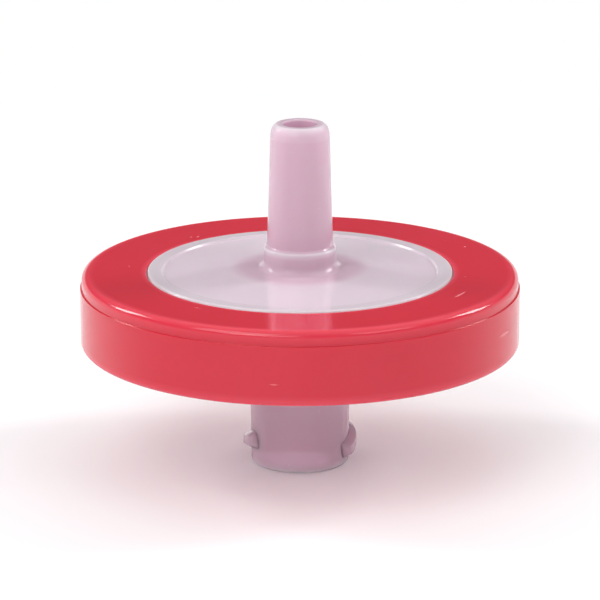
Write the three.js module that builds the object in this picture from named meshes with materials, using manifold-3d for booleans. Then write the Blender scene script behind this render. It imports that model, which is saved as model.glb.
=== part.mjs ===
// A 25 mm disposable syringe filter, standing on its inlet hub with the outlet nozzle up.
//
// Two moulded halves clamp a membrane between them, and a ring moulded round their edge holds
// them shut. The lower half carries a female luer lock hub, the upper half a male luer nozzle.
//
// Units are millimetres. +Z is the filter's axis and points out of the nozzle. The origin is the
// centre of the hub's end face, on which the filter stands.

import * as THREE from 'three';
import { mergeVertices } from 'three/addons/utils/BufferGeometryUtils.js';
import Module from 'manifold-3d';

const wasm = await Module();
wasm.setup();

// ---- Fineness of the facets ----
const sides = 60; // flats round every revolved form
const cornerSteps = 4; // flats across a rounded corner
const lugSteps = 10; // sections along a lock lug
const shortestEdge = 0.003; // shorter edges, left where solids join, are closed up

// ---- Membrane ----
const membraneDiameter = 25;
const membraneThickness = 0.2;

// ---- Edge of the two halves, and the ring round it ----
const fitGap = 0.05; // clearance between walls that nest in one another
const clampWidth = 1.4; // land that grips the membrane's edge
const beadHeight = 0.12; // sealing bead on the lower half's land, up to the membrane
const beadRootWidth = 0.5;
const beadCrestWidth = 0.2;
const flangeThickness = 1.2; // each half, where the ring grips it
const skirtWall = 1; // upper half's skirt, which stands round the lower half
const ringWall = 1.4; // ring outside the skirt
const lipReach = 3.15; // how far the ring's lips reach inwards over the halves
const lipThickness = 1.25;
const inletCornerRadius = 0.4; // ring's outer corner on the hub side
const outletCornerRadius = 1; // ring's outer corner on the nozzle side
const partingStep = 0.1; // ledge where the two halves of the ring's mould meet

// ---- Outer faces of the halves ----
const faceProud = 0.1; // how far the faces stand out of the ring
const faceEdgeRadius = 0.15;
const rimWidth = 1; // flat land round each face
const rimStep = 0.15; // the face inside the land lies this much lower
const rimStepDraft = 0.1;
const coneRise = 0.35; // the face climbs this much towards the hub or nozzle

// ---- Chamber each side of the membrane ----
const chamberDepth = 0.7;
const rootDepth = 0.1; // how far ribs, ridges and lugs are rooted in the wall that carries them
const ribCount = 12;
const ribWidth = 0.7;
const ribClearance = 0.15; // from a rib to the membrane, so that liquid spreads
const ribInset = 0.6; // from a rib's ends to the throat and to the chamber's wall
const ridgeCount = 5;
const ridgeCrestWidth = 0.6;
const ridgeRootWidth = 0.9;
const drainCount = 8;
const drainWidth = 0.9;

// ---- Female luer lock hub ----
const luerTaper = 0.06; // diameter lost for each millimetre of length, on both luers
const hubLength = 8.3; // from the end face to the land of the disc
const hubMouthDiameter = 6.7;
const hubDraft = 0.2; // diameter gained from the mouth to the root
const hubMouthRound = 0.25;
const hubRootFillet = 0.9;
const hubBoreDiameter = 4.3; // at the end face, before its lead-in
const hubBoreDepth = 8;
const hubLeadIn = 0.2;
const throatDiameter = 2.5; // from the hub's bore into the chamber
const throatFlare = 0.8; // how far the throat opens out where it enters the chamber

// ---- Lock lugs on the hub ----
const lugCount = 2;
const lugHeight = 0.55; // how far the lugs stand out of the hub's mouth
const lugLead = 5; // advance for one full right-hand turn
const lugSpan = 64; // degrees along the root
const lugEndDraft = 5; // degrees by which each end leans in from root to crest
const lugRootWidth = 1.3;
const lugCrestWidth = 0.6;
const lugSetback = 0.3; // from the end face to the first flank

// ---- Male luer nozzle ----
const nozzleLength = 10.2; // from the land of the disc to the tip
const nozzleTipDiameter = 4; // where the taper would meet the end face
const noseLength = 0.9; // rounded nose, along the axis
const noseSetback = 0.45; // rounded nose, across the axis
const nozzleBoreTip = 2.2;
const nozzleBoreRoot = 2.6;
const nozzleBoreEdge = 0.1;
const collarProud = 0.22; // how far the collar stands out of the nozzle
const collarHeight = 1.6; // above the land of the disc
const collarShoulder = 0.2;
const collarFillet = 0.5;
const wellDiameter = 3.6; // where the drains meet the nozzle's bore
const wellDepth = 0.6;

// ---- Radii that follow ----
const membraneRadius = membraneDiameter / 2;
const chamberRadius = membraneRadius - clampWidth;
const skirtInnerRadius = membraneRadius + fitGap;
const skirtRadius = skirtInnerRadius + skirtWall;
const grooveRadius = skirtRadius + fitGap;
const ringRadius = grooveRadius + ringWall;
const faceRadius = skirtRadius - lipReach;
const lipRadius = faceRadius + fitGap;
const throatRadius = throatDiameter / 2;
const wellRadius = wellDiameter / 2;

// ---- Heights that follow, from the hub's end face up ----
const inletRimHeight = hubLength;
const ringFootHeight = inletRimHeight + faceProud;
const flangeFootHeight = ringFootHeight + lipThickness;
const membraneFootHeight = flangeFootHeight + flangeThickness;
const membraneTopHeight = membraneFootHeight + membraneThickness;
const flangeTopHeight = membraneTopHeight + flangeThickness;
const ringTopHeight = flangeTopHeight + lipThickness;
const outletRimHeight = ringTopHeight + faceProud;
const tipHeight = outletRimHeight + nozzleLength;
const inletLandHeight = membraneFootHeight - beadHeight;
const inletFloorHeight = membraneFootHeight - chamberDepth;
const outletFloorHeight = membraneTopHeight + chamberDepth;

// ---- Finishes ----
const housingLook = { color: 0xdccfd7, roughness: 0.35, metalness: 0 };
const membraneLook = { color: 0xf4f2ef, roughness: 0.85, metalness: 0 };
const ringLook = { color: 0xde3a48, roughness: 0.3, metalness: 0 };

// ---- Outlines: corners are a radius from the axis and a height along it ----

function corner(radius, height) {
  return new THREE.Vector2(radius, height);
}

// A quarter ellipse in the outline's plane. Angles are in degrees from the radial direction.
function quarter(centreRadius, centreHeight, radialSize, axialSize, from, to) {
  const start = THREE.MathUtils.degToRad(from);
  const end = THREE.MathUtils.degToRad(to);
  const curve = new THREE.EllipseCurve(
    centreRadius, centreHeight, radialSize, axialSize, start, end, end < start,
  );
  return curve.getPoints(cornerSteps);
}

// ---- Solids ----

// The solid inside a closed geometry.
function toSolid(geometry) {
  geometry.deleteAttribute('normal');
  geometry.deleteAttribute('uv');
  const welded = mergeVertices(geometry);
  return new wasm.Manifold(new wasm.Mesh({
    numProp: 3,
    vertProperties: new Float32Array(welded.attributes.position.array),
    triVerts: new Uint32Array(welded.index.array),
  }));
}

// A closed outline, given either way round, turned about the Z axis.
function revolve(outline) {
  const corners = THREE.ShapeUtils.isClockWise(outline) ? outline.toReversed() : outline;
  const geometry = new THREE.LatheGeometry([...corners, corners[0]], sides);
  geometry.rotateX(Math.PI / 2);
  return toSolid(geometry);
}

// A closed geometry through a row of sections that have the same number of corners.
function loft(sections) {
  const count = sections[0].length;
  const last = (sections.length - 1) * count;
  const faces = [];
  for (let section = 0; section < last; section += count) {
    for (let side = 0; side < count; side++) {
      const here = section + side;
      const next = section + (side + 1) % count;
      faces.push(here, next, next + count, here, next + count, here + count);
    }
  }
  for (let side = 1; side < count - 1; side++) {
    faces.push(0, side + 1, side, last, last + side, last + side + 1);
  }
  return new THREE.BufferGeometry().setFromPoints(sections.flat()).setIndex(faces);
}

// Solids of one geometry, copied evenly round the Z axis.
function roundAxis(geometry, count) {
  const copies = [];
  for (let copy = 0; copy < count; copy++) {
    copies.push(toSolid(geometry.clone().rotateZ(2 * Math.PI * copy / count)));
  }
  return copies;
}

function join(solids) {
  return solids.reduce((whole, solid) => whole.add(solid));
}

function cut(solid, tools) {
  return tools.reduce((whole, tool) => whole.subtract(tool), solid);
}

// ---- Sub-parts ----

// Outer face of a half, from the root of its tube to the flange under the ring's lip. Heights
// are measured outwards from the land.
function faceOutline(tubeRadius, fillet) {
  const landRadius = faceRadius - rimWidth;
  const coneTop = coneRise - rimStep;
  const edge = faceEdgeRadius;
  return [
    ...quarter(tubeRadius + fillet, coneTop + fillet, fillet, fillet, 180, 270),
    corner(landRadius - rimStepDraft, -rimStep),
    corner(landRadius, 0),
    ...quarter(faceRadius - edge, -edge, edge, edge, 90, 0),
    corner(faceRadius, -faceProud - lipThickness),
  ];
}

// Outline of the bead on the lower half's land that presses the membrane's edge shut.
function sealingBead() {
  const radius = chamberRadius + clampWidth / 2;
  return [
    corner(radius + beadRootWidth / 2, inletLandHeight),
    corner(radius + beadCrestWidth / 2, membraneFootHeight),
    corner(radius - beadCrestWidth / 2, membraneFootHeight),
    corner(radius - beadRootWidth / 2, inletLandHeight),
  ];
}

// Lower half without ribs and lugs: hub, disc, flange, chamber, throat and tapered bore.
function inletShell() {
  const mouthRadius = hubMouthDiameter / 2;
  const boreRadius = (height) => (hubBoreDiameter - luerTaper * height) / 2;
  const face = faceOutline((hubMouthDiameter + hubDraft) / 2, hubRootFillet);
  return revolve([
    corner(boreRadius(0) + hubLeadIn, 0),
    ...quarter(mouthRadius - hubMouthRound, hubMouthRound, hubMouthRound, hubMouthRound, 270, 360),
    ...face.map((point) => corner(point.x, inletRimHeight - point.y)),
    corner(membraneRadius, flangeFootHeight),
    corner(membraneRadius, inletLandHeight),
    ...sealingBead(),
    corner(chamberRadius, inletLandHeight),
    corner(chamberRadius, inletFloorHeight),
    corner(throatRadius + throatFlare, inletFloorHeight),
    corner(throatRadius, inletFloorHeight - throatFlare),
    corner(throatRadius, hubBoreDepth),
    corner(boreRadius(hubBoreDepth), hubBoreDepth),
    corner(boreRadius(hubLeadIn), hubLeadIn),
  ]);
}

// One flow rib inside the lower half: a bar with round ends, along +X from throat to wall.
function flowRib() {
  const roundEnd = ribWidth / 2;
  const bar = new THREE.Shape();
  bar.absarc(throatRadius + throatFlare + ribInset + roundEnd, 0, roundEnd, Math.PI / 2, -Math.PI / 2);
  bar.absarc(chamberRadius - ribInset - roundEnd, 0, roundEnd, -Math.PI / 2, Math.PI / 2);
  const depth = rootDepth + chamberDepth - ribClearance;
  const rib = new THREE.ExtrudeGeometry(bar, { depth, bevelEnabled: false, curveSegments: cornerSteps });
  return rib.translate(0, 0, inletFloorHeight - rootDepth);
}

// A point on the lock thread's helix, this many degrees round from a starting height.
function helixPoint(radius, degrees, height) {
  const angle = THREE.MathUtils.degToRad(degrees);
  const climb = lugLead * degrees / 360;
  return new THREE.Vector3(radius * Math.cos(angle), radius * Math.sin(angle), height + climb);
}

// One lock lug: a trapezoid section carried round the hub's mouth along the thread's helix.
function lockLug() {
  const rootRadius = hubMouthDiameter / 2 - rootDepth;
  const crestRadius = hubMouthDiameter / 2 + lugHeight;
  const middle = lugSetback + (lugRootWidth + lugLead * lugSpan / 360) / 2;
  const sections = [];
  for (let step = 0; step <= lugSteps; step++) {
    const share = step / lugSteps - 0.5;
    const root = share * lugSpan;
    const crest = share * (lugSpan - 2 * lugEndDraft);
    sections.push([
      helixPoint(rootRadius, root, middle - lugRootWidth / 2),
      helixPoint(crestRadius, crest, middle - lugCrestWidth / 2),
      helixPoint(crestRadius, crest, middle + lugCrestWidth / 2),
      helixPoint(rootRadius, root, middle + lugRootWidth / 2),
    ]);
  }
  return loft(sections);
}

// Upper half without ridges: nozzle, collar, disc, flange, skirt, chamber, well and bore.
function outletShell() {
  const collarTop = outletRimHeight + collarHeight;
  const taperRadius = (height) => (nozzleTipDiameter + luerTaper * (tipHeight - height)) / 2;
  const noseFoot = tipHeight - noseLength;
  const taperFoot = collarTop + collarShoulder;
  const collarRadius = taperRadius(taperFoot) + collarProud;
  const face = faceOutline(collarRadius, collarFillet);
  return revolve([
    corner(nozzleBoreTip / 2 + nozzleBoreEdge, tipHeight),
    ...quarter(taperRadius(noseFoot) - noseSetback, noseFoot, noseSetback, noseLength, 90, 0),
    corner(taperRadius(taperFoot), taperFoot),
    corner(collarRadius, collarTop),
    ...face.map((point) => corner(point.x, outletRimHeight + point.y)),
    corner(skirtRadius, flangeTopHeight),
    corner(skirtRadius, flangeFootHeight),
    corner(skirtInnerRadius, flangeFootHeight),
    corner(skirtInnerRadius, membraneTopHeight),
    corner(chamberRadius, membraneTopHeight),
    corner(chamberRadius, outletFloorHeight),
    corner(wellRadius, outletFloorHeight),
    corner(nozzleBoreRoot / 2, outletFloorHeight + wellDepth),
    corner(nozzleBoreTip / 2, tipHeight - nozzleBoreEdge),
  ]);
}

// One support ridge inside the upper half: a ring that tapers from the floor to the membrane.
function supportRidge(radius) {
  const root = outletFloorHeight + rootDepth;
  return revolve([
    corner(radius - ridgeCrestWidth / 2, membraneTopHeight),
    corner(radius + ridgeCrestWidth / 2, membraneTopHeight),
    corner(radius + ridgeRootWidth / 2, outletFloorHeight),
    corner(radius + ridgeRootWidth / 2, root),
    corner(radius - ridgeRootWidth / 2, root),
    corner(radius - ridgeRootWidth / 2, outletFloorHeight),
  ]);
}

// One drain: a straight passage through the ridges, from the chamber's wall to the well.
function drain() {
  const depth = chamberDepth + 2 * rootDepth;
  const bar = new THREE.BoxGeometry(chamberRadius, drainWidth, depth);
  return bar.translate(chamberRadius / 2, 0, membraneTopHeight + chamberDepth / 2);
}

function supportRidges() {
  const pitch = (chamberRadius - wellRadius) / ridgeCount;
  const ridges = [];
  for (let ridge = 0; ridge < ridgeCount; ridge++) {
    ridges.push(supportRidge(wellRadius + (ridge + 0.5) * pitch));
  }
  return cut(join(ridges), roundAxis(drain(), drainCount));
}

function inletHousing() {
  return join([inletShell(), ...roundAxis(lockLug(), lugCount), ...roundAxis(flowRib(), ribCount)]);
}

function outletHousing() {
  return outletShell().add(supportRidges());
}

function membrane() {
  const disc = new THREE.CylinderGeometry(membraneRadius, membraneRadius, membraneThickness, sides);
  disc.rotateX(Math.PI / 2);
  disc.translate(0, 0, membraneFootHeight + membraneThickness / 2);
  return toSolid(disc);
}

// Ring with a C section: two lips over the halves, and a ledge where its mould parts.
function overmouldRing() {
  const inletRound = inletCornerRadius;
  const outletRound = outletCornerRadius;
  const partingHeight = ringTopHeight - outletRound;
  const outletSide = ringRadius - partingStep;
  return revolve([
    corner(lipRadius, ringFootHeight),
    ...quarter(ringRadius - inletRound, ringFootHeight + inletRound, inletRound, inletRound, 270, 360),
    corner(ringRadius, partingHeight),
    ...quarter(outletSide - outletRound, partingHeight, outletRound, outletRound, 0, 90),
    corner(lipRadius, ringTopHeight),
    corner(lipRadius, flangeTopHeight),
    corner(grooveRadius, flangeTopHeight),
    corner(grooveRadius, flangeFootHeight),
    corner(lipRadius, flangeFootHeight),
  ]);
}

// ---- The filter ----

function toMesh(name, solid, look) {
  const { vertProperties, triVerts } = solid.simplify(shortestEdge).getMesh();
  const geometry = new THREE.BufferGeometry();
  geometry.setAttribute('position', new THREE.BufferAttribute(vertProperties, 3));
  geometry.setIndex(new THREE.BufferAttribute(triVerts, 1));
  geometry.computeVertexNormals();
  const mesh = new THREE.Mesh(geometry, new THREE.MeshStandardMaterial(look));
  mesh.name = name;
  return mesh;
}

const syringeFilter = new THREE.Group();
syringeFilter.add(
  toMesh('inlet_housing', inletHousing(), housingLook),
  toMesh('outlet_housing', outletHousing(), housingLook),
  toMesh('membrane', membrane(), membraneLook),
  toMesh('overmould_ring', overmouldRing(), ringLook),
);

export default syringeFilter;
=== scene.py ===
# A 25 mm syringe filter standing on its inlet hub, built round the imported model.
# Sizes in the dictionaries are millimetres. Blender works in metres.

import math

import bmesh
import bpy
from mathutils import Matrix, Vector


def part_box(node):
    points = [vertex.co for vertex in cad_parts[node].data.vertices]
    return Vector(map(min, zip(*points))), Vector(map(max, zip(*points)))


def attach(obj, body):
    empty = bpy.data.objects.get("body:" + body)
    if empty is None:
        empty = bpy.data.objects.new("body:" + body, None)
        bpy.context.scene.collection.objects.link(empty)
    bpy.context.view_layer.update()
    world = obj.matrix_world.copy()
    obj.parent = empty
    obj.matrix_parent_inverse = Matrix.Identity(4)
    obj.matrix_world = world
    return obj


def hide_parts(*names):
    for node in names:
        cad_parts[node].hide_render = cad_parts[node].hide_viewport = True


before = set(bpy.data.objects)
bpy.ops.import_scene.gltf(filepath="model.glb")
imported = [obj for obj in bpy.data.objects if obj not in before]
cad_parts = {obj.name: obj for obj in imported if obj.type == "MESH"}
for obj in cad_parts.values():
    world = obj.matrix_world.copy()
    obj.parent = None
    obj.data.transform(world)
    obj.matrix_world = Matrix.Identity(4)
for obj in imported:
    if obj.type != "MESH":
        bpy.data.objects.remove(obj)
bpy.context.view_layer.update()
print("frame loaded:", ", ".join(sorted(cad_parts)))

mm = 0.001
scene = bpy.context.scene


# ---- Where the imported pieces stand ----

def packedBox(node):
    low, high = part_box(node)
    return low / mm, high / mm


inletLow, inletHigh = packedBox("inlet_housing")
outletLow, outletHigh = packedBox("outlet_housing")
membraneLow, membraneHigh = packedBox("membrane")
ringLow, ringHigh = packedBox("overmould_ring")

membraneFoot = membraneLow.z
membraneTop = membraneHigh.z
flangeFoot = outletLow.z
flangeTop = membraneTop + membraneFoot - flangeFoot  # both flanges are as thick
skirtRadius = outletHigh.x

edgeSizes = {
    "sides": 240,  # steps round every turned piece
    "faceProud": 0.1,  # faces stand out of the ring
    "faceRadius": 10.4,
    "faceEdge": 0.15,
    "landWidth": 1.0,  # flat land round each face
    "landStep": 0.15,
    "landFoot": 0.06,
    "stepDraft": 0.1,
    "coneRise": 0.35,
    "chamberRadius": 11.1,
    "chamberDepth": 0.7,
    "skirtInner": 12.55,
    "seatGap": 0.015,  # keeps touching faces apart, so that light crosses each one once
    "luerTaper": 0.06,
    "mergeDistance": 0.001,
}
roundings = {
    "hair": 0.04,
    "fine": 0.05,
    "small": 0.1,
    "chamberRim": 0.08,
    "chamberFloor": 0.15,
}


# ---- Outlines of turned pieces ----

def roundedOutline(corners, turnStep=12, holds=(0.06, 0.35)):
    # corners are (radius, height, rounding); each rounding becomes an arc, and straights
    # get points near each end, so that shading and edge marks stay close to the arcs
    smallestTurn = 0.02  # radians
    largestShare = 0.49  # of a straight that one arc may take up
    holdRoom = 2.2  # a straight shorter than this many holds goes without them
    points = []
    count = len(corners)
    for index, (radius, height, rounding) in enumerate(corners):
        here = Vector((radius, height))
        before = Vector(corners[index - 1][:2])
        after = Vector(corners[(index + 1) % count][:2])
        toBefore = (before - here).normalized()
        toAfter = (after - here).normalized()
        turn = math.pi - toBefore.angle(toAfter)
        if rounding <= 0 or turn < smallestTurn:
            points.append(here)
            continue
        shorter = min((before - here).length, (after - here).length)
        reach = min(rounding * math.tan(turn / 2), largestShare * shorter)
        rounding = reach / math.tan(turn / 2)
        middle = (toBefore + toAfter).normalized()
        centre = here + middle * rounding / math.cos(turn / 2)
        steps = max(3, round(math.degrees(turn) / turnStep))
        start = here + toBefore * reach - centre
        way = 1 if start.y * toBefore.x > start.x * toBefore.y else -1
        for step in range(steps + 1):
            angle = way * turn * step / steps
            cosine, sine = math.cos(angle), math.sin(angle)
            spoke = Vector((start.x * cosine - start.y * sine, start.x * sine + start.y * cosine))
            points.append(centre + spoke)
    held = []
    for index, point in enumerate(points):
        following = points[(index + 1) % len(points)]
        run = (following - point).length
        used = [hold for hold in holds if run > holdRoom * hold]
        held.append(point)
        held += [point.lerp(following, hold / run) for hold in used]
        held += [following.lerp(point, hold / run) for hold in reversed(used)]
    return held


def ellipseArc(centreRadius, centreHeight, wide, tall, steps):
    # a quarter ellipse from the top of its height to its full width
    arc = []
    for step in range(steps + 1):
        angle = math.pi / 2 * (1 - step / steps)
        arc.append((centreRadius + wide * math.cos(angle), centreHeight + tall * math.sin(angle), 0))
    return arc


# ---- Building node trees ----

def newTree(name, kind, inputs, outputs):
    tree = bpy.data.node_groups.new(name, kind)
    for label, socket, value in inputs:
        made = tree.interface.new_socket(label, in_out="INPUT", socket_type=socket)
        if value is not None:
            made.default_value = value
    for label, socket in outputs:
        tree.interface.new_socket(label, in_out="OUTPUT", socket_type=socket)
    return tree, tree.nodes.new("NodeGroupInput"), tree.nodes.new("NodeGroupOutput")


def addNode(tree, kind, settings=None, **inputs):
    # inputs are a value, or another node's output, by socket name or by i0, i1, ...
    node = tree.nodes.new(kind)
    for name, value in (settings or {}).items():
        setattr(node, name, value)
    for name, value in inputs.items():
        isNumber = name[0] == "i" and name[1:].isdigit()
        socket = node.inputs[int(name[1:])] if isNumber else node.inputs[name.replace("_", " ")]
        if isinstance(value, bpy.types.NodeSocket):
            tree.links.new(value, socket)
        else:
            socket.default_value = value
    return node


def addMath(tree, operation, *values):
    named = {f"i{index}": value for index, value in enumerate(values)}
    return addNode(tree, "ShaderNodeMath", {"operation": operation}, **named).outputs[0]


def addVector(tree, x=0.0, y=0.0, z=0.0):
    return addNode(tree, "ShaderNodeCombineXYZ", X=x, Y=y, Z=z).outputs[0]


def average(tree, first, second):
    return addMath(tree, "MULTIPLY", addMath(tree, "ADD", first, second), 0.5)


def onCircle(tree, radius, angle, height):
    # the place at an angle round the Z axis
    x = addMath(tree, "MULTIPLY", addMath(tree, "COSINE", angle), radius)
    y = addMath(tree, "MULTIPLY", addMath(tree, "SINE", angle), radius)
    return addVector(tree, x, y, height)


# ---- Node trees that make the shapes ----

def turnedBodyTree():
    # turns a closed outline, drawn as radius and height in X and Y, about the Z axis
    tree, given, result = newTree(
        "Turned Body", "GeometryNodeTree",
        [("Outline", "NodeSocketGeometry", None), ("Sides", "NodeSocketInt", edgeSizes["sides"])],
        [("Body", "NodeSocketGeometry")])
    pathRadius = mm
    line = addNode(tree, "GeometryNodeMeshToCurve", Mesh=given.outputs["Outline"])
    placed = addNode(tree, "GeometryNodeTransform", Geometry=line.outputs[0],
                     Translation=(-pathRadius, 0, 0), Scale=(1, -1, 1))
    path = addNode(tree, "GeometryNodeCurvePrimitiveCircle",
                   Resolution=given.outputs["Sides"], Radius=pathRadius)
    upright = addNode(tree, "GeometryNodeSetCurveNormal", {"mode": "Z_UP"}, Curve=path.outputs[0])
    body = addNode(tree, "GeometryNodeCurveToMesh", Curve=upright.outputs[0],
                   Profile_Curve=placed.outputs[0])
    closed = addNode(tree, "GeometryNodeMergeByDistance", Geometry=body.outputs[0],
                     Distance=edgeSizes["mergeDistance"] * mm)
    tree.links.new(closed.outputs[0], result.inputs["Body"])
    return tree


def finishTree():
    # shades the body smooth, except across edges sharper than Crease, and sets its finish
    tree, given, result = newTree(
        "Finished Surface", "GeometryNodeTree",
        [("Body", "NodeSocketGeometry", None), ("Finish", "NodeSocketMaterial", None),
         ("Crease", "NodeSocketFloat", math.radians(32))],
        [("Body", "NodeSocketGeometry")])
    real = addNode(tree, "GeometryNodeRealizeInstances", Geometry=given.outputs["Body"])
    edge = addNode(tree, "GeometryNodeInputMeshEdgeAngle")
    isSharp = addNode(tree, "FunctionNodeCompare", {"data_type": "FLOAT", "operation": "GREATER_THAN"},
                      i0=edge.outputs[0], i1=given.outputs["Crease"])
    smooth = addNode(tree, "GeometryNodeSetShadeSmooth", {"domain": "FACE"}, Geometry=real.outputs[0])
    creased = addNode(tree, "GeometryNodeSetShadeSmooth", {"domain": "EDGE"}, Geometry=smooth.outputs[0],
                      Selection=isSharp.outputs[0], Shade_Smooth=False)
    finished = addNode(tree, "GeometryNodeSetMaterial", Geometry=creased.outputs[0],
                       Material=given.outputs["Finish"])
    tree.links.new(finished.outputs[0], result.inputs["Body"])
    return tree


def spread(tree, count, shape):
    # instances of a shape, turned evenly about the Z axis
    points = addNode(tree, "GeometryNodePoints", Count=count)
    index = addNode(tree, "GeometryNodeInputIndex")
    share = addMath(tree, "DIVIDE", index.outputs[0], count)
    angle = addMath(tree, "MULTIPLY", share, 2 * math.pi)
    turn = addNode(tree, "FunctionNodeEulerToRotation", Euler=addVector(tree, z=angle))
    copies = addNode(tree, "GeometryNodeInstanceOnPoints", Points=points.outputs[0],
                     Instance=shape, Rotation=turn.outputs[0])
    return addNode(tree, "GeometryNodeRealizeInstances", Geometry=copies.outputs[0]).outputs[0]


def useTree(tree, group, **inputs):
    return addNode(tree, "GeometryNodeGroup", {"node_tree": group}, **inputs).outputs[0]


def combine(tree, operation, first, *others):
    node = addNode(tree, "GeometryNodeMeshBoolean", {"operation": operation, "solver": "MANIFOLD"})
    tree.links.new(first, node.inputs["Mesh 1" if operation == "DIFFERENCE" else "Mesh 2"])
    for other in others:
        tree.links.new(other, node.inputs["Mesh 2"])
    return node.outputs["Mesh"]


turnedBody = turnedBodyTree()
finishedSurface = finishTree()


# ---- Shared shader effects ----

def smoothStep(tree, value, start, end, low=0.0, high=1.0):
    # eases from low at the start to high at the end
    return addNode(tree, "ShaderNodeMapRange", {"interpolation_type": "SMOOTHSTEP"}, Value=value,
                   From_Min=start, From_Max=end, To_Min=low, To_Max=high).outputs[0]


markSizes = {
    "cellScale": 0.5,
    "cellEdge": 0.48,  # a bundle thins out from its core to its edge
    "cellCore": 0.12,
    "coreGain": 0.45,
    "fineAlong": 0.9,  # how closely the scratches follow each other, and lie side by side
    "fineAcross": 5.0,
    "scratchFrom": 0.74,
    "scratchFull": 0.92,
    "weakest": 0.3,
    "strengthSpread": 0.6,
}


def markTree():
    # short bundles of fine scratches, longer along X than across Y, in a share of the cells
    size = markSizes
    tree, given, result = newTree(
        "Handling Marks", "ShaderNodeTree",
        [("Vector", "NodeSocketVector", None), ("Length", "NodeSocketFloat", 3.0),
         ("Width", "NodeSocketFloat", 0.5), ("Share", "NodeSocketFloat", 0.2),
         ("Seed", "NodeSocketFloat", 0.0)],
        [("Mask", "NodeSocketFloat")])
    part = addNode(tree, "ShaderNodeSeparateXYZ", Vector=given.outputs["Vector"])
    along = addMath(tree, "DIVIDE", part.outputs[0], given.outputs["Length"])
    across = addMath(tree, "DIVIDE", part.outputs[1], given.outputs["Width"])
    cell = addNode(tree, "ShaderNodeTexVoronoi", {"voronoi_dimensions": "3D"},
                   Vector=addVector(tree, along, across, given.outputs["Seed"]), Scale=size["cellScale"])
    shape = smoothStep(tree, cell.outputs["Distance"], size["cellEdge"], size["cellCore"])
    fine = addVector(tree, addMath(tree, "MULTIPLY", along, size["fineAlong"]),
                     addMath(tree, "MULTIPLY", across, size["fineAcross"]))
    scratch = addNode(tree, "ShaderNodeTexNoise", Vector=fine, Scale=1.0, Detail=3.0, Roughness=0.6)
    covered = addMath(tree, "MULTIPLY_ADD", shape, size["coreGain"], scratch.outputs[0])
    lines = smoothStep(tree, covered, size["scratchFrom"], size["scratchFull"])
    pick = addNode(tree, "ShaderNodeSeparateColor", Color=cell.outputs["Color"])
    chosen = addMath(tree, "LESS_THAN", pick.outputs[0], given.outputs["Share"])
    strength = addMath(tree, "MULTIPLY_ADD", pick.outputs[1], size["strengthSpread"], size["weakest"])
    picked = addMath(tree, "MULTIPLY", chosen, strength)
    tree.links.new(addMath(tree, "MULTIPLY", lines, picked), result.inputs["Mask"])
    return tree


def grainTree():
    # the faint unevenness of a moulded skin: a broad swell and a fine grain
    grainShare = 0.12  # of the height
    tree, given, result = newTree(
        "Moulded Grain", "ShaderNodeTree",
        [("Vector", "NodeSocketVector", None), ("Grain Size", "NodeSocketFloat", 0.3),
         ("Swell Size", "NodeSocketFloat", 4.0)],
        [("Grain", "NodeSocketFloat"), ("Swell", "NodeSocketFloat"), ("Height", "NodeSocketFloat")])
    vector = given.outputs["Vector"]
    fineScale = addMath(tree, "DIVIDE", 1.0, given.outputs["Grain Size"])
    broadScale = addMath(tree, "DIVIDE", 1.0, given.outputs["Swell Size"])
    grain = addNode(tree, "ShaderNodeTexNoise", Vector=vector, Scale=fineScale, Detail=3.0)
    swell = addNode(tree, "ShaderNodeTexNoise", Vector=vector, Scale=broadScale, Detail=1.0)
    height = addMath(tree, "MULTIPLY_ADD", grain.outputs[0], grainShare, swell.outputs[0])
    tree.links.new(grain.outputs[0], result.inputs["Grain"])
    tree.links.new(swell.outputs[0], result.inputs["Swell"])
    tree.links.new(height, result.inputs["Height"])
    return tree


def wrapTree():
    # unrolls a turned surface: the way round in X, the way across in Y, in millimetres
    tree, given, result = newTree(
        "Unrolled", "ShaderNodeTree", [("Vector", "NodeSocketVector", None)],
        [("Vector", "NodeSocketVector")])
    part = addNode(tree, "ShaderNodeSeparateXYZ", Vector=given.outputs["Vector"])
    flat = addVector(tree, part.outputs[0], part.outputs[1])
    radius = addNode(tree, "ShaderNodeVectorMath", {"operation": "LENGTH"}, i0=flat)
    angle = addMath(tree, "ARCTAN2", part.outputs[1], part.outputs[0])
    way = addMath(tree, "MULTIPLY", angle, radius.outputs["Value"])
    across = addMath(tree, "ADD", radius.outputs["Value"], part.outputs[2])
    tree.links.new(addVector(tree, way, across), result.inputs["Vector"])
    return tree


handlingMarks = markTree()
mouldedGrain = grainTree()
unrolled = wrapTree()


# ---- Finishes ----

def startFinish(name, settings):
    material = bpy.data.materials.new(name)
    material.use_nodes = True
    tree = material.node_tree
    shader = tree.nodes["Principled BSDF"]
    for socket, value in settings.items():
        shader.inputs[socket].default_value = value
    place = addNode(tree, "ShaderNodeTexCoord")
    inMillimetres = addNode(tree, "ShaderNodeVectorMath", {"operation": "SCALE"},
                            i0=place.outputs["Object"], Scale=1 / mm)
    return material, tree, shader, inMillimetres.outputs[0]


def useShade(tree, group, **inputs):
    return addNode(tree, "ShaderNodeGroup", {"node_tree": group}, **inputs)


def blendColor(tree, share, first, second):
    # inputs 6 and 7 and output 2 are the colour ones
    return addNode(tree, "ShaderNodeMix", {"data_type": "RGBA"}, i0=share, i6=first, i7=second).outputs[2]


def attribute(tree, name):
    return addNode(tree, "ShaderNodeAttribute", {"attribute_name": name}).outputs["Fac"]


def addSkin(tree, shader, size, grain, height):
    # roughness that varies with the grain, and a bump from the height
    lowest = size["roughness"] - size["roughSpread"] / 2
    rough = addMath(tree, "MULTIPLY_ADD", grain, size["roughSpread"], lowest)
    bump = addNode(tree, "ShaderNodeBump", Strength=size["bump"], Distance=size["bumpHeight"] * mm,
                   Height=height)
    tree.links.new(rough, shader.inputs["Roughness"])
    tree.links.new(bump.outputs[0], shader.inputs["Normal"])
    return rough


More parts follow.
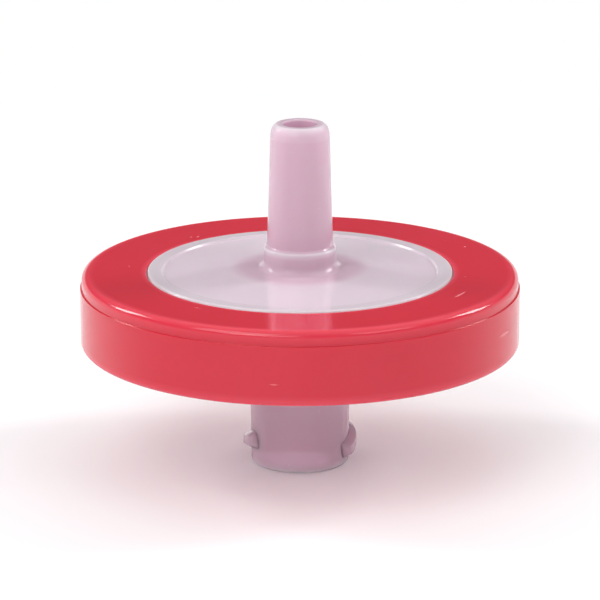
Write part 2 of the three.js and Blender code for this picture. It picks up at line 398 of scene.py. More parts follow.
redSizes = {
    "color": (0.62, 0.017, 0.042, 1),
    "swellColor": (0.585, 0.013, 0.034, 1),
    "edgeHighlightColor": (0.70, 0.045, 0.08, 1),  # painted highlight on the rounded edges, a lighter red
    # lighter scuffs and specks: whitened scratches, with painted glints on them
    "scuffAndGlintColor": (0.9, 0.36, 0.40, 1),
    "roughness": 0.14,
    "roughSpread": 0.05,
    "wornRoughness": 0.25,
    "wornDepth": 0.3,
    "bump": 0.25,
    "bumpHeight": 0.02,
}


def redPlastic():
    size = redSizes
    material, tree, shader, place = startFinish("Red moulded ring", {
        "IOR": 1.49, "Subsurface Weight": 0.3, "Subsurface Radius": (1.0, 0.2, 0.16),
        "Subsurface Scale": 0.0009})
    grain = useShade(tree, mouldedGrain, Vector=place, Grain_Size=0.22, Swell_Size=6.0)
    onSkin = useShade(tree, unrolled, Vector=place)
    scuffs = useShade(tree, handlingMarks, Vector=onSkin.outputs[0], Length=1.6, Width=0.22,
                      Share=0.02, Seed=2.0)
    specks = useShade(tree, handlingMarks, Vector=onSkin.outputs[0], Length=0.16, Width=0.14,
                      Share=0.003, Seed=7.0)
    wearAndGlint = addMath(tree, "MAXIMUM", scuffs.outputs[0], specks.outputs[0])
    tint = blendColor(tree, grain.outputs["Swell"], size["color"], size["swellColor"])
    # painted highlight on the rounded edges
    edgeLit = blendColor(tree, attribute(tree, "paintedEdgeHighlight"), tint, size["edgeHighlightColor"])
    # scuffs and specks lighten the red: whitened scratches and painted glints
    marked = blendColor(tree, wearAndGlint, edgeLit, size["scuffAndGlintColor"])
    tree.links.new(marked, shader.inputs["Base Color"])
    height = addMath(tree, "MULTIPLY_ADD", wearAndGlint, -size["wornDepth"], grain.outputs["Height"])
    rough = addSkin(tree, shader, size, grain.outputs["Grain"], height)
    scuffed = addMath(tree, "MULTIPLY_ADD", wearAndGlint, size["wornRoughness"], rough)
    tree.links.new(scuffed, shader.inputs["Roughness"])
    return material


naturalSizes = {
    "color": (0.94, 0.80, 0.89, 1),
    "swellColor": (0.91, 0.77, 0.86, 1),
    "tubeShadeColor": (0.83, 0.61, 0.725, 1),  # painted shade: the hub and the nozzle darker and pinker than the faces
    # painted shade on the bore's wall
    "boreShadeColor": (0.68, 0.45, 0.565, 1),
    # painted highlight on the rounded edges
    "edgeHighlightColor": (0.98, 0.86, 0.94, 1),
    "speckColor": (0.98, 0.96, 0.98, 1),
    "tubeReach": 3.6,  # from the axis; beyond it the tubes' painted shade fades out
    "tubeFade": 1.4,
    "edgeHighlightShare": 0.9,
    "speckShare": 0.5,
    "roughness": 0.14,
    "roughSpread": 0.06,
    "bump": 0.3,
    "bumpHeight": 0.02,
}


def naturalPlastic():
    size = naturalSizes
    material, tree, shader, place = startFinish("Milky natural plastic", {
        "IOR": 1.49, "Subsurface Weight": 0.7, "Subsurface Radius": (1.0, 0.93, 0.97),
        "Subsurface Scale": 0.0012, "Transmission Weight": 0.35})
    grain = useShade(tree, mouldedGrain, Vector=place, Grain_Size=0.25, Swell_Size=3.5)
    onSkin = useShade(tree, unrolled, Vector=place)
    specks = useShade(tree, handlingMarks, Vector=onSkin.outputs[0], Length=0.2, Width=0.16,
                      Share=0.02, Seed=3.0)
    across = addNode(tree, "ShaderNodeVectorMath", {"operation": "MULTIPLY"}, i0=place, i1=(1, 1, 0))
    reach = addNode(tree, "ShaderNodeVectorMath", {"operation": "LENGTH"}, i0=across.outputs[0])
    # painted shade on the hub and the nozzle, fading out towards the faces
    tube = smoothStep(tree, reach.outputs["Value"], size["tubeReach"] + size["tubeFade"], size["tubeReach"])
    tint = blendColor(tree, grain.outputs["Swell"], size["color"], size["swellColor"])
    tubeShaded = blendColor(tree, tube, tint, size["tubeShadeColor"])
    # painted shade on the bore's wall
    boreShaded = blendColor(tree, attribute(tree, "paintedBoreShade"), tubeShaded, size["boreShadeColor"])
    # painted highlight on the rounded edges
    edge = addMath(tree, "MULTIPLY", attribute(tree, "paintedEdgeHighlight"), size["edgeHighlightShare"])
    edgeLit = blendColor(tree, edge, boreShaded, size["edgeHighlightColor"])
    speckled = addMath(tree, "MULTIPLY", specks.outputs[0], size["speckShare"])
    marked = blendColor(tree, speckled, edgeLit, size["speckColor"])
    tree.links.new(marked, shader.inputs["Base Color"])
    addSkin(tree, shader, size, grain.outputs["Grain"], grain.outputs["Height"])
    return material


whiteSizes = {
    "color": (0.93, 0.91, 0.90, 1),
    "fibreColor": (0.85, 0.83, 0.82, 1),
    "fibreScale": 9.0,
    "roughness": 0.855,
    "roughSpread": 0.15,
    "bump": 0.6,
    "bumpHeight": 0.01,
}


def membraneFinish():
    size = whiteSizes
    material, tree, shader, place = startFinish("White membrane", {
        "IOR": 1.35, "Specular IOR Level": 0.3})
    fibre = addNode(tree, "ShaderNodeTexNoise", Vector=place, Scale=size["fibreScale"], Detail=4.0,
                    Roughness=0.65).outputs[0]
    tint = blendColor(tree, fibre, size["color"], size["fibreColor"])
    tree.links.new(tint, shader.inputs["Base Color"])
    addSkin(tree, shader, size, fibre, fibre)
    return material


redFinish = redPlastic()
naturalFinish = naturalPlastic()
whiteFinish = membraneFinish()
print("finishes made")


# ---- Making a piece ----

def startPiece(name, inputs=None):
    # a piece's own tree, with its counts and sizes as named inputs, up to the turned body
    sockets = [("Outline", "NodeSocketGeometry", None), ("Sides", "NodeSocketInt", edgeSizes["sides"]),
               ("Finish", "NodeSocketMaterial", None)]
    for label, value in (inputs or {}).items():
        kind = "NodeSocketInt" if label.endswith("Count") else "NodeSocketFloat"
        sockets.append((label, kind, value))
    tree, given, result = newTree(name, "GeometryNodeTree", sockets, [("Piece", "NodeSocketGeometry")])
    body = useTree(tree, turnedBody, Outline=given.outputs["Outline"], Sides=given.outputs["Sides"])
    return tree, given, result, body


def endPiece(tree, given, result, body):
    done = useTree(tree, finishedSurface, Body=body, Finish=given.outputs["Finish"])
    tree.links.new(done, result.inputs["Piece"])
    return tree


def inMetres(sizes):
    # counts stay as they are, degrees become radians, and lengths become metres
    inputs = {}
    for label, value in sizes.items():
        if label.endswith("Count"):
            inputs[label] = value
        elif label in ("Lug Span", "Lug Draft"):
            inputs[label] = math.radians(value)
        else:
            inputs[label] = value * mm
    return inputs


paintedLightRules = {
    "fullRadius": 0.3,  # corners rounded less than this get the full painted highlight
    "leastTurn": 0.05,  # sine of the turn at a point
    "leastReach": 0.02,
    "besideShare": 0.7,
    "boreEnd": 0.08,  # how far inside the end face the bore's painted shade starts
    "boreMargin": 0.05,
}


def edgeHighlightShares(outline):
    # share of painted highlight: 1 on sharply rounded outer corners, less on gentler ones, and fading just
    # beside them
    rules = paintedLightRules
    count = len(outline)
    area = sum(point.cross(outline[index - 1]) for index, point in enumerate(outline))
    outwards = 1 if area < 0 else -1
    marks = []
    for index, point in enumerate(outline):
        arriving = point - outline[index - 1]
        leaving = outline[(index + 1) % count] - point
        turn = outwards * arriving.normalized().cross(leaving.normalized())
        reach = min(arriving.length, leaving.length)
        isCorner = turn > rules["leastTurn"] and reach > rules["leastReach"]
        marks.append(min(1.0, rules["fullRadius"] * turn / reach) if isCorner else 0.0)
    beside = [rules["besideShare"] * max(marks[index - 1], marks[(index + 1) % count])
              for index in range(count)]
    return [max(pair) for pair in zip(marks, beside)]


def boreShadeShares(outline, reach, endHeight):
    # share of painted shade: 1 on the wall of the bore, and 0 from just inside the end face that it opens
    # in
    return [float(point.x < reach and abs(point.y - endHeight) > paintedLightRules["boreEnd"])
            for point in outline]


def outlineObject(name, outline, bore=None, closed=True):
    count = len(outline)
    edges = [(index, (index + 1) % count) for index in range(count if closed else count - 1)]
    mesh = bpy.data.meshes.new(name)
    mesh.from_pydata([(point.x * mm, point.y * mm, 0) for point in outline], edges, [])
    # shares of painted highlight on the edges and of painted shade in the bore, kept on the points
    marks = {"paintedEdgeHighlight": edgeHighlightShares(outline)}
    if bore:
        marks["paintedBoreShade"] = boreShadeShares(outline, *bore)
    for label, values in marks.items():
        mesh.attributes.new(label, "FLOAT", "POINT").data.foreach_set("value", values)
    made = bpy.data.objects.new(name, mesh)
    scene.collection.objects.link(made)
    return made


def growPiece(name, start, tree, inputs, node):
    modifier = start.modifiers.new("Shape", "NODES")
    modifier.node_group = tree
    for item in tree.interface.items_tree:
        if item.in_out == "INPUT" and item.name in inputs:
            modifier[item.identifier] = inputs[item.name]
    shaped = start.evaluated_get(bpy.context.evaluated_depsgraph_get())
    mesh = bpy.data.meshes.new_from_object(shaped)
    bpy.data.objects.remove(start)
    piece = bpy.data.objects.new(name, mesh)
    scene.collection.objects.link(piece)
    tidySkin(piece)
    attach(piece, "root")
    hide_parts(node)


def tidySkin(piece):
    # normals outwards; reports what isn't closed
    skin = bmesh.new()
    skin.from_mesh(piece.data)
    bmesh.ops.recalc_face_normals(skin, faces=skin.faces)
    openEdges = sum(1 for edge in skin.edges if not edge.is_manifold)
    if skin.calc_volume(signed=True) < 0:
        bmesh.ops.reverse_faces(skin, faces=skin.faces)
    skin.to_mesh(piece.data)
    triangles = sum(len(face.verts) - 2 for face in skin.faces)
    skin.free()
    print(f"{piece.name}: {triangles} triangles, {openEdges} open edges")


# ---- Overmoulded ring ----

ringSizes = {
    "lipInner": 10.45,
    "grooveRadius": 13.6,
    "lipEdge": 0.12,
    "inletCorner": 0.4,
    "outletCorner": 1.0,
    "partingStep": 0.1,
    "partingEdge": 0.03,
}


def ringOutline():
    size = ringSizes
    wall = ringHigh.x
    parting = ringHigh.z - size["outletCorner"]
    seat = edgeSizes["seatGap"]
    return roundedOutline([
        (size["lipInner"], ringLow.z, size["lipEdge"]),
        (wall, ringLow.z, size["inletCorner"]),
        (wall, parting, size["partingEdge"]),
        (wall - size["partingStep"], parting, size["partingEdge"]),
        (wall - size["partingStep"], ringHigh.z, size["outletCorner"]),
        (size["lipInner"], ringHigh.z, size["lipEdge"]),
        (size["lipInner"], flangeTop + seat, roundings["fine"]),
        (size["grooveRadius"], flangeTop + seat, roundings["small"]),
        (size["grooveRadius"], flangeFoot - seat, roundings["small"]),
        (size["lipInner"], flangeFoot - seat, roundings["fine"]),
    ])


ringTree = endPiece(*startPiece("Overmoulded Ring"))
growPiece("overmouldedRing", outlineObject("ringOutline", ringOutline()), ringTree,
          {"Sides": edgeSizes["sides"], "Finish": redFinish}, "overmould_ring")


# ---- Faces that both halves share ----

def faceCorners(tubeRadius, fillet):
    # from the root of the tube out to the flange; heights are above the land
    size = edgeSizes
    land = size["faceRadius"] - size["landWidth"]
    return [
        (tubeRadius, size["coneRise"] - size["landStep"], fillet),
        (land - size["stepDraft"], -size["landStep"], size["landFoot"]),
        (land, 0, roundings["fine"]),
        (size["faceRadius"], 0, size["faceEdge"]),
    ]


# ---- Inlet half: hub, lock lugs, disc and flow ribs ----

inletSizes = {
    "mouthDiameter": 6.7,
    "draft": 0.2,  # diameter gained from the mouth to the root
    "mouthRound": 0.25,
    "mouthEdge": 0.06,
    "rootFillet": 0.9,
    "boreDiameter": 4.3,
    "boreDepth": 8.0,
    "boreEnd": 0.15,
    "leadIn": 0.2,
    "throatDiameter": 2.5,
    "throatFlare": 0.8,
    "throatEdge": 0.08,
    "clampWidth": 1.4,
    "beadHeight": 0.12,
    "beadRoot": 0.5,
    "beadCrest": 0.2,
}
ribSizes = {
    "Rib Count": 12,
    "Rib Width": 0.7,
    "Rib Inset": 0.6,  # at both ends
    "Rib Clearance": 0.15,  # from a rib's top to the membrane
}
ribDetail = {
    "root": 0.1,  # how deep the ribs reach into the chamber's floor
    "cornerSteps": 8,
    "cornerShare": 0.4999,  # of the width, just under a half circle
}
lugSizes = {
    "Lug Count": 2,
    "Lug Height": 0.55,
    "Lug Root": 0.25,  # buried in the hub
    "Lug Root Width": 1.5,
    "Lug Crest Width": 0.6,
    "Lug Rounding": 0.1,
    "Lug Span": 64.0,  # degrees
    "Lug Draft": 5.0,  # degrees that each end leans in by
    "Lug Lead": 5.0,
    "Lug Setback": 0.3,
}
lugDetail = {
    "points": 61,  # along the lug
    "cornerSteps": 5,
    "endShare": 0.07,  # of the lug's length that each end takes to reach its full section
    "endSection": 0.78,  # of the full section at the very end
}


def inletOutline():
    size = inletSizes
    land = ringLow.z - edgeSizes["faceProud"]
    mouth = size["mouthDiameter"] / 2
    bore = size["boreDiameter"] / 2
    throat = size["throatDiameter"] / 2
    taper = edgeSizes["luerTaper"] / 2
    rim = inletHigh.x
    chamber = edgeSizes["chamberRadius"]
    floor = membraneFoot - edgeSizes["chamberDepth"]
    bead = chamber + size["clampWidth"] / 2
    clamp = membraneFoot - size["beadHeight"]
    seat = edgeSizes["seatGap"]
    face = faceCorners(mouth + size["draft"] / 2, size["rootFillet"])
    hair, fine, small = roundings["hair"], roundings["fine"], roundings["small"]
    chamberRim, chamberFloor = roundings["chamberRim"], roundings["chamberFloor"]
    return roundedOutline([
        (bore + size["leadIn"], inletLow.z, size["mouthEdge"]),
        (mouth, inletLow.z, size["mouthRound"]),
        *[(radius, land - height, rounding) for radius, height, rounding in face],
        (edgeSizes["faceRadius"], flangeFoot, fine),
        (rim, flangeFoot, small),
        (rim, clamp, fine),
        (bead + size["beadRoot"] / 2, clamp, hair),
        (bead + size["beadCrest"] / 2, membraneFoot - seat, fine),
        (bead - size["beadCrest"] / 2, membraneFoot - seat, fine),
        (bead - size["beadRoot"] / 2, clamp, hair),
        (chamber, clamp, chamberRim),
        (chamber, floor, chamberFloor),
        (throat + size["throatFlare"], floor, chamberFloor),
        (throat, floor - size["throatFlare"], small),
        (throat, size["boreDepth"], size["throatEdge"]),
        (bore - taper * size["boreDepth"], size["boreDepth"], size["boreEnd"]),
        (bore - taper * size["leadIn"], size["leadIn"], hair),
    ])


def addRibs(tree, given):
    # bars with round ends on the chamber's floor, from the throat to the chamber's wall
    size = given.outputs
    inner = addMath(tree, "ADD", size["Rib Start"], size["Rib Inset"])
    outer = addMath(tree, "SUBTRACT", size["Rib End"], size["Rib Inset"])
    length = addMath(tree, "SUBTRACT", outer, inner)
    middle = average(tree, inner, outer)
    top = addMath(tree, "SUBTRACT", size["Rib Ceiling"], size["Rib Clearance"])
    bar = addNode(tree, "GeometryNodeCurvePrimitiveQuadrilateral", {"mode": "RECTANGLE"},
                  Width=length, Height=size["Rib Width"])
    roundEnd = addMath(tree, "MULTIPLY", size["Rib Width"], ribDetail["cornerShare"])
    rounded = addNode(tree, "GeometryNodeFilletCurve", {"mode": "POLY"}, Curve=bar.outputs[0],
                      Count=ribDetail["cornerSteps"], Radius=roundEnd, Limit_Radius=True)
    path = addNode(tree, "GeometryNodeCurvePrimitiveLine",
                   Start=addVector(tree, middle, 0.0, size["Rib Floor"]),
                   End=addVector(tree, middle, 0.0, top))
    rib = addNode(tree, "GeometryNodeCurveToMesh", Curve=path.outputs[0],
                  Profile_Curve=rounded.outputs[0], Fill_Caps=True)
    return spread(tree, size["Rib Count"], rib.outputs[0])


def climbOf(tree, angle, lead):
    return addMath(tree, "MULTIPLY", addMath(tree, "DIVIDE", angle, 2 * math.pi), lead)


def addLugs(tree, given):
    # a filleted trapezoid that follows the lock thread's helix, with drafted round ends
    size = given.outputs
    height = addMath(tree, "ADD", size["Lug Height"], size["Lug Root"])
    rootRadius = addMath(tree, "SUBTRACT", size["Mouth Radius"], size["Lug Root"])
    halfRise = climbOf(tree, addMath(tree, "MULTIPLY", size["Lug Span"], 0.5), size["Lug Lead"])
    halfWidth = addMath(tree, "MULTIPLY", size["Lug Root Width"], 0.5)
    middle = addMath(tree, "ADD", addMath(tree, "ADD", halfRise, halfWidth), size["Lug Setback"])
    section = addNode(tree, "GeometryNodeCurvePrimitiveQuadrilateral", {"mode": "TRAPEZOID"},
                      Height=height, Bottom_Width=size["Lug Root Width"],
                      Top_Width=size["Lug Crest Width"], Offset=0.0)
    rounded = addNode(tree, "GeometryNodeFilletCurve", {"mode": "POLY"}, Curve=section.outputs[0],
                      Count=lugDetail["cornerSteps"], Radius=size["Lug Rounding"], Limit_Radius=True)
    outwards = addNode(tree, "GeometryNodeTransform", Geometry=rounded.outputs[0],
                       Translation=addVector(tree, addMath(tree, "MULTIPLY", height, 0.5)),
                       Rotation=(0, 0, -math.pi / 2))
    line = addNode(tree, "GeometryNodeCurvePrimitiveLine", Start=(0, 0, 0), End=(mm, 0, 0))
    fine = addNode(tree, "GeometryNodeResampleCurve", {"mode": "COUNT"}, Curve=line.outputs[0],
                   Count=lugDetail["points"])
    factor = addNode(tree, "GeometryNodeSplineParameter").outputs["Factor"]
    centred = addMath(tree, "SUBTRACT", factor, 0.5)
    angle = addMath(tree, "MULTIPLY", centred, size["Lug Span"])
    rise = addMath(tree, "ADD", climbOf(tree, angle, size["Lug Lead"]), middle)
    helix = addNode(tree, "GeometryNodeSetPosition", Geometry=fine.outputs[0],
                    Position=onCircle(tree, rootRadius, angle, rise))
    upright = addNode(tree, "GeometryNodeSetCurveNormal", {"mode": "Z_UP"}, Curve=helix.outputs[0])
    fromEnd = addMath(tree, "SUBTRACT", 0.5, addMath(tree, "ABSOLUTE", centred))
    into = addNode(tree, "ShaderNodeMapRange", Value=fromEnd, From_Max=lugDetail["endShare"]).outputs[0]
    away = addMath(tree, "SUBTRACT", 1.0, into)
    dome = addMath(tree, "SQRT", addMath(tree, "SUBTRACT", 1.0, addMath(tree, "MULTIPLY", away, away)))
    endSection = lugDetail["endSection"]
    full = addMath(tree, "MULTIPLY_ADD", dome, 1 - endSection, endSection)
    swept = addNode(tree, "GeometryNodeCurveToMesh", Curve=upright.outputs[0],
                    Profile_Curve=outwards.outputs[0], Scale=full, Fill_Caps=True)
    return spread(tree, size["Lug Count"], leanEnds(tree, swept.outputs[0], rootRadius, height, size))


def leanEnds(tree, swept, rootRadius, height, size):
    # slides each point along the helix towards the lug's middle, further at the crest
    point = addNode(tree, "GeometryNodeInputPosition").outputs[0]
    x, y, z = addNode(tree, "ShaderNodeSeparateXYZ", Vector=point).outputs
    flat = addVector(tree, x, y)
    radius = addNode(tree, "ShaderNodeVectorMath", {"operation": "LENGTH"}, i0=flat).outputs["Value"]
    angle = addMath(tree, "ARCTAN2", y, x)
    share = addMath(tree, "DIVIDE", addMath(tree, "SUBTRACT", radius, rootRadius), height)
    perAngle = addMath(tree, "DIVIDE", addMath(tree, "MULTIPLY", size["Lug Draft"], -2.0), size["Lug Span"])
    shift = addMath(tree, "MULTIPLY", angle, addMath(tree, "MULTIPLY", share, perAngle))
    turned = addMath(tree, "ADD", angle, shift)
    rise = addMath(tree, "ADD", z, climbOf(tree, shift, size["Lug Lead"]))
    return addNode(tree, "GeometryNodeSetPosition", Geometry=swept,
                   Position=onCircle(tree, radius, turned, rise)).outputs[0]


def inletTree(inputs):
    tree, given, result, shell = startPiece("Inlet Half", inputs)
    whole = combine(tree, "UNION", shell, addRibs(tree, given), addLugs(tree, given))
    return endPiece(tree, given, result, whole)


inletInputs = inMetres({
    **ribSizes, **lugSizes,
    "Rib Start": inletSizes["throatDiameter"] / 2 + inletSizes["throatFlare"],
    "Rib End": edgeSizes["chamberRadius"],
    "Rib Floor": membraneFoot - edgeSizes["chamberDepth"] - ribDetail["root"],
    "Rib Ceiling": membraneFoot,
    "Mouth Radius": inletSizes["mouthDiameter"] / 2,
})
inletBore = (inletSizes["boreDiameter"] / 2 + inletSizes["leadIn"], inletLow.z)
growPiece("inletHalf", outlineObject("inletOutline", inletOutline(), inletBore),
          inletTree(inletInputs),
          {**inletInputs, "Sides": edgeSizes["sides"], "Finish": naturalFinish},
          "inlet_housing")


# ---- Outlet half: nozzle, collar, disc, skirt and drained ridges ----

outletSizes = {
    "nozzleTipDiameter": 4.0,
    "noseLength": 0.9,
    "noseSetback": 0.45,
    "noseSteps": 14,
    "boreTip": 2.2,
    "boreRoot": 2.6,
    "boreEdge": 0.1,
    "boreInside": 0.03,
    "collarProud": 0.22,
    "collarHeight": 1.6,
    "collarShoulder": 0.2,
    "shoulderRound": 0.15,
    "collarRound": 0.12,
    "collarFillet": 0.5,
    "wellDiameter": 3.6,
    "wellDepth": 0.6,
}
ridgeDetail = {
    "cornerSteps": 4,
    "drainShare": 1.5,  # of the ridges' height, so that the drains cut right through
}
ridgeSizes = {
    "Ridge Count": 5,
    "Ridge Crest Width": 0.6,
    "Ridge Root Width": 0.9,
    "Ridge Rounding": 0.08,
    "Ridge Root": 0.1,
    "Drain Count": 8,
    "Drain Width": 0.9,
}


def outletOutline():
    size = outletSizes
    tip = outletHigh.z
    land = ringHigh.z + edgeSizes["faceProud"]
    taper = edgeSizes["luerTaper"] / 2
    noseFoot = tip - size["noseLength"]
    collarTop = land + size["collarHeight"]
    taperFoot = collarTop + size["collarShoulder"]
    tipRadius = size["nozzleTipDiameter"] / 2
    collar = tipRadius + taper * (tip - taperFoot) + size["collarProud"]
    floor = membraneTop + edgeSizes["chamberDepth"]
    chamber = edgeSizes["chamberRadius"]
    seat = edgeSizes["seatGap"]
    noseRadius = tipRadius + taper * size["noseLength"]
    nose = ellipseArc(noseRadius - size["noseSetback"], noseFoot, size["noseSetback"],
                      size["noseLength"], size["noseSteps"])
    face = faceCorners(collar, size["collarFillet"])
    skirtInner = edgeSizes["skirtInner"]
    hair, fine, small = roundings["hair"], roundings["fine"], roundings["small"]
    return roundedOutline([
        (size["boreTip"] / 2 + size["boreEdge"], tip, hair),
        *nose,
        (tipRadius + taper * (tip - taperFoot), taperFoot, size["shoulderRound"]),
        (collar, collarTop, size["collarRound"]),
        *[(radius, land + height, rounding) for radius, height, rounding in face],
        (edgeSizes["faceRadius"], flangeTop, fine),
        (skirtRadius, flangeTop, small),
        (skirtRadius, outletLow.z, small),
        (skirtInner, outletLow.z, small),
        (skirtInner, membraneTop + seat, fine),
        (chamber, membraneTop + seat, roundings["chamberRim"]),
        (chamber, floor, roundings["chamberFloor"]),
        (size["wellDiameter"] / 2, floor, small),
        (size["boreRoot"] / 2, floor + size["wellDepth"], small),
        (size["boreTip"] / 2, tip - size["boreEdge"], size["boreInside"]),
    ])


def addRidges(tree, given):
    # rings that carry the membrane, cut through by straight drains
    size = given.outputs
    points = addNode(tree, "GeometryNodePoints", Count=size["Ridge Count"])
    index = addNode(tree, "GeometryNodeInputIndex").outputs[0]
    length = addMath(tree, "SUBTRACT", size["Chamber Radius"], size["Well Radius"])
    pitch = addMath(tree, "DIVIDE", length, size["Ridge Count"])
    radius = addMath(tree, "MULTIPLY_ADD", addMath(tree, "ADD", index, 0.5), pitch, size["Well Radius"])
    circle = addNode(tree, "GeometryNodeCurvePrimitiveCircle", Resolution=size["Sides"], Radius=1.0)
    circles = addNode(tree, "GeometryNodeInstanceOnPoints", Points=points.outputs[0],
                      Instance=circle.outputs[0], Scale=addVector(tree, radius, radius, radius))
    real = addNode(tree, "GeometryNodeRealizeInstances", Geometry=circles.outputs[0])
    height = addMath(tree, "SUBTRACT", size["Ridge Top"], size["Ridge Foot"])
    middle = average(tree, size["Ridge Top"], size["Ridge Foot"])
    lifted = addNode(tree, "GeometryNodeTransform", Geometry=real.outputs[0],
                     Translation=addVector(tree, z=middle))
    upright = addNode(tree, "GeometryNodeSetCurveNormal", {"mode": "Z_UP"}, Curve=lifted.outputs[0])
    section = addNode(tree, "GeometryNodeCurvePrimitiveQuadrilateral", {"mode": "TRAPEZOID"},
                      Height=height, Bottom_Width=size["Ridge Root Width"],
                      Top_Width=size["Ridge Crest Width"], Offset=0.0)
    rounded = addNode(tree, "GeometryNodeFilletCurve", {"mode": "POLY"}, Curve=section.outputs[0],
                      Count=ridgeDetail["cornerSteps"], Radius=size["Ridge Rounding"], Limit_Radius=True)
    rings = addNode(tree, "GeometryNodeCurveToMesh", Curve=upright.outputs[0],
                    Profile_Curve=rounded.outputs[0])
    through = addMath(tree, "MULTIPLY", height, ridgeDetail["drainShare"])
    slot = addNode(tree, "GeometryNodeMeshCube", Size=addVector(tree, length, size["Drain Width"], through))
    halfway = average(tree, size["Chamber Radius"], size["Well Radius"])
    placed = addNode(tree, "GeometryNodeTransform", Geometry=slot.outputs[0],
                     Translation=addVector(tree, halfway, 0.0, middle))
    drains = spread(tree, size["Drain Count"], placed.outputs[0])
    return combine(tree, "DIFFERENCE", rings.outputs[0], drains)


def outletTree(inputs):
    tree, given, result, shell = startPiece("Outlet Half", inputs)
    whole = combine(tree, "UNION", shell, addRidges(tree, given))
    return endPiece(tree, given, result, whole)


outletInputs = inMetres({
    **ridgeSizes,
    "Ridge Foot": membraneTop + edgeSizes["seatGap"],
    "Ridge Top": membraneTop + edgeSizes["chamberDepth"] + ridgeSizes["Ridge Root"],
    "Chamber Radius": edgeSizes["chamberRadius"],
    "Well Radius": outletSizes["wellDiameter"] / 2,
})
outletBore = (outletSizes["boreRoot"] / 2 + paintedLightRules["boreMargin"], outletHigh.z)
growPiece("outletHalf", outlineObject("outletOutline", outletOutline(), outletBore),
          outletTree(outletInputs),
          {**outletInputs, "Sides": edgeSizes["sides"], "Finish": naturalFinish},
          "outlet_housing")


# ---- Membrane ----

membraneSizes = {
    "edge": 0.05,
    "printDepth": 0.02,  # where the ridges press into it
    "printSlope": 0.15,
}


def membraneOutline():
    # open at the axis, where the two ends meet
    rim = membraneHigh.x
    well = outletSizes["wellDiameter"] / 2
    pitch = (edgeSizes["chamberRadius"] - well) / ridgeSizes["Ridge Count"]
    pressed = ridgeSizes["Ridge Crest Width"] / 2
    around = pressed + membraneSizes["printSlope"]
    low = membraneTop - membraneSizes["printDepth"]
    points = [(0, membraneTop)]
    for ridge in range(ridgeSizes["Ridge Count"]):
        middle = well + (ridge + 0.5) * pitch
        points += [(middle - around, membraneTop), (middle - pressed, low),
                   (middle + pressed, low), (middle + around, membraneTop)]
    edge = membraneSizes["edge"]
    points += [(rim - edge, membraneTop), (rim, membraneTop - edge), (rim, membraneFoot + edge),
               (rim - edge, membraneFoot), (rim / 2, membraneFoot), (0, membraneFoot)]
    return [Vector(point) for point in points]


membraneTree = endPiece(*startPiece("Membrane Disc"))
growPiece("membraneDisc", outlineObject("membraneOutline", membraneOutline(), closed=False),
          membraneTree, {"Sides": edgeSizes["sides"], "Finish": whiteFinish}, "membrane")


# ---- Floor, light and camera ----

stageSizes = {
    "floorColor": (0.92, 0.92, 0.93, 1),
    "floorRadii": (3.1, 3000),  # the hub stands over the opening
    "floorDrop": 0.02,
    "floorSteps": 96,
    "floorRoughness": 0.6,
    "floorGloss": 0.25,
    "fadeFrom": 30,  # the floor fades to the white background between these distances
    "fadeTo": 110,
    "backdropTop": 0.12,  # reflections see the white backdrop up to this rise of their direction
    "backdropEnd": 0.2,
    "horizonRise": 0.2,
    "horizonStrength": 0.1,
    "overheadRise": 0.9,
    "overheadStrength": 0.8,
    "underRise": -0.05,
    "underStrength": 0.5,  # reaches only what stands over the floor's opening
    "aimHeight": 11.4,
    "frameWidth": 41,  # width of the view at the filter
    "elevation": 16,  # degrees
    "lensLength": 250,
    "nearLimit": 10,
}
lampSizes = {
    # place, width and height in metres, and watts; too high to mirror in the flat faces of low views
    "keyLight": ((-0.3, -0.35, 0.45), (0.4, 0.4), 1.15),
    "fillLight": ((0.4, -0.35, 0.42), (0.35, 0.2), 0.5),
    "leftLight": ((-0.46, 0.18, 0.3), (0.14, 0.22), 1.15),
    "rightLight": ((0.46, 0.18, 0.3), (0.14, 0.22), 1.25),
    "frontLight": ((-0.2, -0.55, 0.32), (0.4, 0.2), 0.7),
    "topLight": ((0.1, 0.12, 0.6), (0.9, 0.7), 0.45),
}


def seenWhite(tree, mirrored=1.0):
    # 1 where a ray straight from the camera or through the milky plastic meets the background;
    # a mirrored ray gets the share that is given
    path = addNode(tree, "ShaderNodeLightPath").outputs
    straight = addMath(tree, "MAXIMUM", path["Is Camera Ray"], path["Is Transmission Ray"])
    bounced = addMath(tree, "MULTIPLY", path["Is Glossy Ray"], mirrored)
    return addMath(tree, "MAXIMUM", straight, bounced)


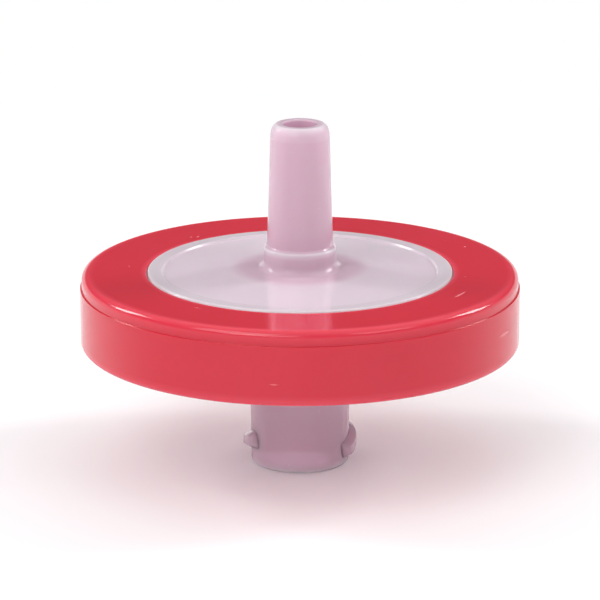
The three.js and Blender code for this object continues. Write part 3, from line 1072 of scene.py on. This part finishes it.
def makeFloor():
    # open under the hub's mouth, so that views from below see it lit
    size = stageSizes
    steps = size["floorSteps"]
    turns = [2 * math.pi * step / steps for step in range(steps)]
    corners = [(radius * mm * math.cos(turn), radius * mm * math.sin(turn), -size["floorDrop"] * mm)
               for radius in size["floorRadii"] for turn in turns]
    faces = []
    for step in range(steps):
        following = (step + 1) % steps
        faces.append((step, step + steps, following + steps, following))
    mesh = bpy.data.meshes.new("floor")
    mesh.from_pydata(corners, [], faces)
    floor = bpy.data.objects.new("floor", mesh)
    scene.collection.objects.link(floor)
    material = bpy.data.materials.new("Pale floor")
    material.use_nodes = True
    tree = material.node_tree
    shader = tree.nodes["Principled BSDF"]
    shader.inputs["Base Color"].default_value = size["floorColor"]
    shader.inputs["Roughness"].default_value = size["floorRoughness"]
    shader.inputs["Specular IOR Level"].default_value = size["floorGloss"]
    side = addNode(tree, "ShaderNodeNewGeometry").outputs["Backfacing"]
    clear = addNode(tree, "ShaderNodeBsdfTransparent").outputs[0]
    place = addNode(tree, "ShaderNodeTexCoord").outputs["Object"]
    distance = addNode(tree, "ShaderNodeVectorMath", {"operation": "LENGTH"}, i0=place).outputs["Value"]
    far = smoothStep(tree, distance, size["fadeFrom"] * mm, size["fadeTo"] * mm)
    white = addNode(tree, "ShaderNodeEmission", Color=(1, 1, 1, 1), Strength=1.0).outputs[0]
    faded = addNode(tree, "ShaderNodeMixShader", i0=addMath(tree, "MULTIPLY", far, seenWhite(tree)),
                    i1=shader.outputs[0], i2=white).outputs[0]
    seen = addNode(tree, "ShaderNodeMixShader", i0=side, i1=faded, i2=clear)  # open from below
    tree.links.new(seen.outputs[0], tree.nodes["Material Output"].inputs["Surface"])
    floor.data.materials.append(material)


def makeWorld():
    # brightest overhead, dimmer towards the horizon, and plain white where it is the background
    size = stageSizes
    world = bpy.data.worlds.new("Studio")
    scene.world = world
    world.use_nodes = True
    tree = world.node_tree
    back = tree.nodes["Background"]
    back.inputs["Color"].default_value = (1, 1, 1, 1)
    way = addNode(tree, "ShaderNodeTexCoord").outputs["Generated"]
    rise = addNode(tree, "ShaderNodeSeparateXYZ", Vector=way).outputs["Z"]
    level = smoothStep(tree, rise, size["horizonRise"], size["overheadRise"],
                       size["horizonStrength"], size["overheadStrength"])
    isUnder = addMath(tree, "LESS_THAN", rise, size["underRise"])
    light = addMath(tree, "MULTIPLY_ADD", isUnder, size["underStrength"], level)
    backdrop = smoothStep(tree, rise, size["backdropEnd"], size["backdropTop"])
    tree.links.new(addMath(tree, "MAXIMUM", light, seenWhite(tree, backdrop)), back.inputs["Strength"])


def turnTo(thing, aim):
    thing.rotation_euler = (aim - thing.location).to_track_quat("-Z", "Y").to_euler()


def makeLamp(name, place, size, power, aim):
    data = bpy.data.lights.new(name, "AREA")
    data.shape = "RECTANGLE"
    data.size, data.size_y = size
    data.energy = power
    lamp = bpy.data.objects.new(name, data)
    lamp.location = place
    turnTo(lamp, aim)
    scene.collection.objects.link(lamp)


def makeCamera(aim):
    data = bpy.data.cameras.new("camera")
    data.lens = stageSizes["lensLength"]
    data.clip_start = stageSizes["nearLimit"] * mm
    distance = stageSizes["frameWidth"] * mm * data.lens / data.sensor_width
    rise = math.radians(stageSizes["elevation"])
    camera = bpy.data.objects.new("camera", data)
    camera.location = aim + distance * Vector((0, -math.cos(rise), math.sin(rise)))
    turnTo(camera, aim)
    scene.collection.objects.link(camera)
    scene.camera = camera


aimPoint = Vector((0, 0, stageSizes["aimHeight"])) * mm
makeFloor()
makeWorld()
for name, (place, size, power) in lampSizes.items():
    makeLamp(name, place, size, power, aimPoint)
makeCamera(aimPoint)
scene.view_settings.view_transform = "Standard"
print("floor, light and camera made")
